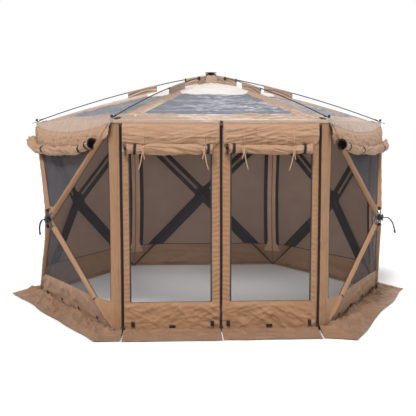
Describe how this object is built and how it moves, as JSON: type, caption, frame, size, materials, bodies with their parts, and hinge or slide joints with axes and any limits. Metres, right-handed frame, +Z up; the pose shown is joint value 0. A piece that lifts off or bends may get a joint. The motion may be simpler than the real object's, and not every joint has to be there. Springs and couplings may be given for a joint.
{
  "type": "screen house",
  "caption": "Six-sided pop-up screen house with mesh walls, rolled-up covers, zipped double door, pole-and-hub frame and a skirt on the ground.",
  "frame": {"origin": "on the ground, at the middle of the floor", "axes": "+Z up, +X to the right of someone facing the door wall from outside, the door wall faces -Y"},
  "size_m": [4.2856, 3.7124, 2.35],
  "materials": {
    "shell_fabric": "matte woven polyester",
    "roof_fabric": "matte coated polyester",
    "skirt_fabric": "matte woven polyester",
    "screen_mesh": "fine knitted netting",
    "pole_fibreglass": "satin fibreglass",
    "hub_plastic": "moulded",
    "bracket_metal": "satin",
    "zip_metal": "satin"
  },
  "bodies": {
    "frame": {"corner_brackets": "bracket_metal", "fabric_frame": "shell_fabric", "ground_skirt": "skirt_fabric"},
    "hub_front_left": {"hub_front_left": "hub_plastic"},
    "panel_top_front_left": {"panel_top_front_left": "screen_mesh", "poles_upper_front_left": "pole_fibreglass"},
    "panel_bottom_front_left": {"panel_bottom_front_left": "screen_mesh", "poles_lower_front_left": "pole_fibreglass"},
    "panel_left_front_left": {"panel_left_front_left": "screen_mesh"},
    "panel_right_front_left": {"panel_right_front_left": "screen_mesh"},
    "side_cover_left": {"side_cover_left": "shell_fabric"},
    "hub_back_left": {"hub_back_left": "hub_plastic"},
    "panel_top_back_left": {"panel_top_back_left": "screen_mesh", "poles_upper_back_left": "pole_fibreglass"},
    "panel_bottom_back_left": {"panel_bottom_back_left": "screen_mesh", "poles_lower_back_left": "pole_fibreglass"},
    "panel_left_back_left": {"panel_left_back_left": "screen_mesh"},
    "panel_right_back_left": {"panel_right_back_left": "screen_mesh"},
    "hub_back": {"hub_back": "hub_plastic"},
    "panel_top_back": {"panel_top_back": "screen_mesh", "poles_upper_back": "pole_fibreglass"},
    "panel_bottom_back": {"panel_bottom_back": "screen_mesh", "poles_lower_back": "pole_fibreglass"},
    "panel_left_back": {"panel_left_back": "screen_mesh"},
    "panel_right_back": {"panel_right_back": "screen_mesh"},
    "hub_back_right": {"hub_back_right": "hub_plastic"},
    "panel_top_back_right": {"panel_top_back_right": "screen_mesh", "poles_upper_back_right": "pole_fibreglass"},
    "panel_bottom_back_right": {"panel_bottom_back_right": "screen_mesh", "poles_lower_back_right": "pole_fibreglass"},
    "panel_left_back_right": {"panel_left_back_right": "screen_mesh"},
    "panel_right_back_right": {"panel_right_back_right": "screen_mesh"},
    "hub_front_right": {"hub_front_right": "hub_plastic"},
    "panel_top_front_right": {"panel_top_front_right": "screen_mesh", "poles_upper_front_right": "pole_fibreglass"},
    "panel_bottom_front_right": {"panel_bottom_front_right": "screen_mesh", "poles_lower_front_right": "pole_fibreglass"},
    "panel_left_front_right": {"panel_left_front_right": "screen_mesh"},
    "panel_right_front_right": {"panel_right_front_right": "screen_mesh"},
    "side_cover_right": {"side_cover_right": "shell_fabric"},
    "roof_hub": {"roof_hub": "hub_plastic"},
    "roof_gore_front_left": {"roof_gore_front_left": "roof_fabric"},
    "roof_gore_back_left": {"roof_gore_back_left": "roof_fabric"},
    "roof_gore_back": {"roof_gore_back": "roof_fabric"},
    "roof_gore_back_right": {"roof_gore_back_right": "roof_fabric"},
    "roof_gore_front_right": {"roof_gore_front_right": "roof_fabric"},
    "roof_gore_front": {"roof_gore_front": "roof_fabric"},
    "roof_pole_front_left": {"roof_pole_front_left": "pole_fibreglass"},
    "roof_pole_front_right": {"roof_pole_front_right": "pole_fibreglass"},
    "roof_pole_right": {"roof_pole_right": "pole_fibreglass"},
    "roof_pole_back_right": {"roof_pole_back_right": "pole_fibreglass"},
    "roof_pole_back_left": {"roof_pole_back_left": "pole_fibreglass"},
    "roof_pole_left": {"roof_pole_left": "pole_fibreglass"},
    "door_left": {"door_left": "shell_fabric", "door_cover_left": "shell_fabric"},
    "door_right": {"door_right": "shell_fabric", "door_cover_right": "shell_fabric"},
    "zip_slider_left": {"zip_slider_left": "zip_metal"},
    "zip_slider_centre": {"zip_slider_centre": "zip_metal"},
    "zip_slider_right": {"zip_slider_right": "zip_metal"}
  },
  "joints": [
    {"name": "hub_front_left_slide", "type": "slide", "parent": "frame", "child": "hub_front_left", "axis": [-0.866, -0.5, 0], "range_m": [-0.45, 0]},
    {"name": "panel_top_front_left_fold", "type": "hinge", "parent": "frame", "child": "panel_top_front_left", "pos_m": [-1.365, -0.78808, 1.812], "axis": [-0.5, 0.866, 0], "range_deg": [-28, 0]},
    {"name": "panel_bottom_front_left_fold", "type": "hinge", "parent": "frame", "child": "panel_bottom_front_left", "pos_m": [-1.365, -0.78808, 0.006], "axis": [0.5, -0.866, 0], "range_deg": [-28, 0]},
    {"name": "panel_left_front_left_fold", "type": "hinge", "parent": "frame", "child": "panel_left_front_left", "pos_m": [-1.82, 0, 0.909], "axis": [0, 0, -1], "range_deg": [-27.8, 0]},
    {"name": "panel_right_front_left_fold", "type": "hinge", "parent": "frame", "child": "panel_right_front_left", "pos_m": [-0.91, -1.57617, 0.909], "axis": [0, 0, 1], "range_deg": [-27.8, 0]},
    {"name": "side_cover_left_hang", "type": "hinge", "parent": "frame", "child": "side_cover_left", "pos_m": [-1.365, -0.78808, 1.812], "axis": [-0.5, 0.866, 0], "range_deg": [-16.02, 0]},
    {"name": "hub_back_left_slide", "type": "slide", "parent": "frame", "child": "hub_back_left", "axis": [-0.866, 0.5, 0], "range_m": [-0.45, 0]},
    {"name": "panel_top_back_left_fold", "type": "hinge", "parent": "frame", "child": "panel_top_back_left", "pos_m": [-1.365, 0.78808, 1.812], "axis": [0.5, 0.866, 0], "range_deg": [-28, 0]},
    {"name": "panel_bottom_back_left_fold", "type": "hinge", "parent": "frame", "child": "panel_bottom_back_left", "pos_m": [-1.365, 0.78808, 0.006], "axis": [-0.5, -0.866, 0], "range_deg": [-28, 0]},
    {"name": "panel_left_back_left_fold", "type": "hinge", "parent": "frame", "child": "panel_left_back_left", "pos_m": [-0.91, 1.57617, 0.909], "axis": [0, 0, -1], "range_deg": [-27.8, 0]},
    {"name": "panel_right_back_left_fold", "type": "hinge", "parent": "frame", "child": "panel_right_back_left", "pos_m": [-1.82, 0, 0.909], "axis": [0, 0, 1], "range_deg": [-27.8, 0]},
    {"name": "hub_back_slide", "type": "slide", "parent": "frame", "child": "hub_back", "axis": [0, 1, 0], "range_m": [-0.45, 0]},
    {"name": "panel_top_back_fold", "type": "hinge", "parent": "frame", "child": "panel_top_back", "pos_m": [0, 1.57617, 1.812], "axis": [1, 0, 0], "range_deg": [-28, 0]},
    {"name": "panel_bottom_back_fold", "type": "hinge", "parent": "frame", "child": "panel_bottom_back", "pos_m": [0, 1.57617, 0.006], "axis": [-1, 0, 0], "range_deg": [-28, 0]},
    {"name": "panel_left_back_fold", "type": "hinge", "parent": "frame", "child": "panel_left_back", "pos_m": [0.91, 1.57617, 0.909], "axis": [0, 0, -1], "range_deg": [-27.8, 0]},
    {"name": "panel_right_back_fold", "type": "hinge", "parent": "frame", "child": "panel_right_back", "pos_m": [-0.91, 1.57617, 0.909], "axis": [0, 0, 1], "range_deg": [-27.8, 0]},
    {"name": "hub_back_right_slide", "type": "slide", "parent": "frame", "child": "hub_back_right", "axis": [0.866, 0.5, 0], "range_m": [-0.45, 0]},
    {"name": "panel_top_back_right_fold", "type": "hinge", "parent": "frame", "child": "panel_top_back_right", "pos_m": [1.365, 0.78808, 1.812], "axis": [0.5, -0.866, 0], "range_deg": [-28, 0]},
    {"name": "panel_bottom_back_right_fold", "type": "hinge", "parent": "frame", "child": "panel_bottom_back_right", "pos_m": [1.365, 0.78808, 0.006], "axis": [-0.5, 0.866, 0], "range_deg": [-28, 0]},
    {"name": "panel_left_back_right_fold", "type": "hinge", "parent": "frame", "child": "panel_left_back_right", "pos_m": [1.82, 0, 0.909], "axis": [0, 0, -1], "range_deg": [-27.8, 0]},
    {"name": "panel_right_back_right_fold", "type": "hinge", "parent": "frame", "child": "panel_right_back_right", "pos_m": [0.91, 1.57617, 0.909], "axis": [0, 0, 1], "range_deg": [-27.8, 0]},
    {"name": "hub_front_right_slide", "type": "slide", "parent": "frame", "child": "hub_front_right", "axis": [0.866, -0.5, 0], "range_m": [-0.45, 0]},
    {"name": "panel_top_front_right_fold", "type": "hinge", "parent": "frame", "child": "panel_top_front_right", "pos_m": [1.365, -0.78808, 1.812], "axis": [-0.5, -0.866, 0], "range_deg": [-28, 0]},
    {"name": "panel_bottom_front_right_fold", "type": "hinge", "parent": "frame", "child": "panel_bottom_front_right", "pos_m": [1.365, -0.78808, 0.006], "axis": [0.5, 0.866, 0], "range_deg": [-28, 0]},
    {"name": "panel_left_front_right_fold", "type": "hinge", "parent": "frame", "child": "panel_left_front_right", "pos_m": [0.91, -1.57617, 0.909], "axis": [0, 0, -1], "range_deg": [-27.8, 0]},
    {"name": "panel_right_front_right_fold", "type": "hinge", "parent": "frame", "child": "panel_right_front_right", "pos_m": [1.82, 0, 0.909], "axis": [0, 0, 1], "range_deg": [-27.8, 0]},
    {"name": "side_cover_right_hang", "type": "hinge", "parent": "frame", "child": "side_cover_right", "pos_m": [1.365, -0.78808, 1.812], "axis": [-0.5, -0.866, 0], "range_deg": [-16.02, 0]},
    {"name": "roof_hub_slide", "type": "slide", "parent": "frame", "child": "roof_hub", "axis": [0, 0, 1], "range_m": [-0.87, 0]},
    {"name": "roof_gore_front_left_fold", "type": "hinge", "parent": "frame", "child": "roof_gore_front_left", "pos_m": [-1.365, -0.78808, 1.812], "axis": [0.5, -0.866, 0], "range_deg": [-31.42, 0]},
    {"name": "roof_gore_back_left_fold", "type": "hinge", "parent": "frame", "child": "roof_gore_back_left", "pos_m": [-1.365, 0.78808, 1.812], "axis": [-0.5, -0.866, 0], "range_deg": [-31.42, 0]},
    {"name": "roof_gore_back_fold", "type": "hinge", "parent": "frame", "child": "roof_gore_back", "pos_m": [0, 1.57617, 1.812], "axis": [-1, 0, 0], "range_deg": [-31.42, 0]},
    {"name": "roof_gore_back_right_fold", "type": "hinge", "parent": "frame", "child": "roof_gore_back_right", "pos_m": [1.365, 0.78808, 1.812], "axis": [-0.5, 0.866, 0], "range_deg": [-31.42, 0]},
    {"name": "roof_gore_front_right_fold", "type": "hinge", "parent": "frame", "child": "roof_gore_front_right", "pos_m": [1.365, -0.78808, 1.812], "axis": [0.5, 0.866, 0], "range_deg": [-31.42, 0]},
    {"name": "roof_gore_front_fold", "type": "hinge", "parent": "frame", "child": "roof_gore_front", "pos_m": [0, -1.57617, 1.812], "axis": [1, 0, 0], "range_deg": [-31.42, 0]},
    {"name": "roof_pole_front_left_fold", "type": "hinge", "parent": "frame", "child": "roof_pole_front_left", "pos_m": [-0.91, -1.57617, 1.812], "axis": [0.866, -0.5, 0], "range_deg": [-27.38, 0]},
    {"name": "roof_pole_front_right_fold", "type": "hinge", "parent": "frame", "child": "roof_pole_front_right", "pos_m": [0.91, -1.57617, 1.812], "axis": [0.866, 0.5, 0], "range_deg": [-27.38, 0]},
    {"name": "roof_pole_right_fold", "type": "hinge", "parent": "frame", "child": "roof_pole_right", "pos_m": [1.82, 0, 1.812], "axis": [0, 1, 0], "range_deg": [-27.38, 0]},
    {"name": "roof_pole_back_right_fold", "type": "hinge", "parent": "frame", "child": "roof_pole_back_right", "pos_m": [0.91, 1.57617, 1.812], "axis": [-0.866, 0.5, 0], "range_deg": [-27.38, 0]},
    {"name": "roof_pole_back_left_fold", "type": "hinge", "parent": "frame", "child": "roof_pole_back_left", "pos_m": [-0.91, 1.57617, 1.812], "axis": [-0.866, -0.5, 0], "range_deg": [-27.38, 0]},
    {"name": "roof_pole_left_fold", "type": "hinge", "parent": "frame", "child": "roof_pole_left", "pos_m": [-1.82, 0, 1.812], "axis": [0, -1, 0], "range_deg": [-27.38, 0]},
    {"name": "door_left_lift", "type": "hinge", "parent": "frame", "child": "door_left", "pos_m": [-0.42, -1.57617, 1.786], "axis": [-1, 0, 0], "range_deg": [0, 90]},
    {"name": "door_right_lift", "type": "hinge", "parent": "frame", "child": "door_right", "pos_m": [0.42, -1.57617, 1.786], "axis": [-1, 0, 0], "range_deg": [0, 90]},
    {"name": "zip_slider_left_slide", "type": "slide", "parent": "frame", "child": "zip_slider_left", "axis": [0, 0, 1], "range_m": [0, 1.7]},
    {"name": "zip_slider_centre_slide", "type": "slide", "parent": "door_left", "child": "zip_slider_centre", "axis": [0, 0, 1], "range_m": [0, 1.7]},
    {"name": "zip_slider_right_slide", "type": "slide", "parent": "frame", "child": "zip_slider_right", "axis": [0, 0, 1], "range_m": [0, 1.7]}
  ],
  "couplings": [
    {"joint": "panel_top_front_left_fold", "follows": "hub_front_left_slide", "rad_per_m": 1.0853},
    {"joint": "panel_bottom_front_left_fold", "follows": "hub_front_left_slide", "rad_per_m": 1.0853},
    {"joint": "panel_left_front_left_fold", "follows": "hub_front_left_slide", "rad_per_m": 1.0773},
    {"joint": "panel_right_front_left_fold", "follows": "hub_front_left_slide", "rad_per_m": 1.0773},
    {"joint": "side_cover_left_hang", "follows": "hub_front_left_slide", "rad_per_m": 0.62056},
    {"joint": "panel_top_back_left_fold", "follows": "hub_back_left_slide", "rad_per_m": 1.0853},
    {"joint": "panel_bottom_back_left_fold", "follows": "hub_back_left_slide", "rad_per_m": 1.0853},
    {"joint": "panel_left_back_left_fold", "follows": "hub_back_left_slide", "rad_per_m": 1.0773},
    {"joint": "panel_right_back_left_fold", "follows": "hub_back_left_slide", "rad_per_m": 1.0773},
    {"joint": "panel_top_back_fold", "follows": "hub_back_slide", "rad_per_m": 1.0853},
    {"joint": "panel_bottom_back_fold", "follows": "hub_back_slide", "rad_per_m": 1.0853},
    {"joint": "panel_left_back_fold", "follows": "hub_back_slide", "rad_per_m": 1.0773},
    {"joint": "panel_right_back_fold", "follows": "hub_back_slide", "rad_per_m": 1.0773},
    {"joint": "panel_top_back_right_fold", "follows": "hub_back_right_slide", "rad_per_m": 1.0853},
    {"joint": "panel_bottom_back_right_fold", "follows": "hub_back_right_slide", "rad_per_m": 1.0853},
    {"joint": "panel_left_back_right_fold", "follows": "hub_back_right_slide", "rad_per_m": 1.0773},
    {"joint": "panel_right_back_right_fold", "follows": "hub_back_right_slide", "rad_per_m": 1.0773},
    {"joint": "panel_top_front_right_fold", "follows": "hub_front_right_slide", "rad_per_m": 1.0853},
    {"joint": "panel_bottom_front_right_fold", "follows": "hub_front_right_slide", "rad_per_m": 1.0853},
    {"joint": "panel_left_front_right_fold", "follows": "hub_front_right_slide", "rad_per_m": 1.0773},
    {"joint": "panel_right_front_right_fold", "follows": "hub_front_right_slide", "rad_per_m": 1.0773},
    {"joint": "side_cover_right_hang", "follows": "hub_front_right_slide", "rad_per_m": 0.62056},
    {"joint": "roof_gore_front_left_fold", "follows": "roof_hub_slide", "rad_per_m": 0.62987},
    {"joint": "roof_gore_back_left_fold", "follows": "roof_hub_slide", "rad_per_m": 0.62987},
    {"joint": "roof_gore_back_fold", "follows": "roof_hub_slide", "rad_per_m": 0.62987},
    {"joint": "roof_gore_back_right_fold", "follows": "roof_hub_slide", "rad_per_m": 0.62987},
    {"joint": "roof_gore_front_right_fold", "follows": "roof_hub_slide", "rad_per_m": 0.62987},
    {"joint": "roof_gore_front_fold", "follows": "roof_hub_slide", "rad_per_m": 0.62987},
    {"joint": "roof_pole_front_left_fold", "follows": "roof_hub_slide", "rad_per_m": 0.54888},
    {"joint": "roof_pole_front_right_fold", "follows": "roof_hub_slide", "rad_per_m": 0.54888},
    {"joint": "roof_pole_right_fold", "follows": "roof_hub_slide", "rad_per_m": 0.54888},
    {"joint": "roof_pole_back_right_fold", "follows": "roof_hub_slide", "rad_per_m": 0.54888},
    {"joint": "roof_pole_back_left_fold", "follows": "roof_hub_slide", "rad_per_m": 0.54888},
    {"joint": "roof_pole_left_fold", "follows": "roof_hub_slide", "rad_per_m": 0.54888}
  ]
}
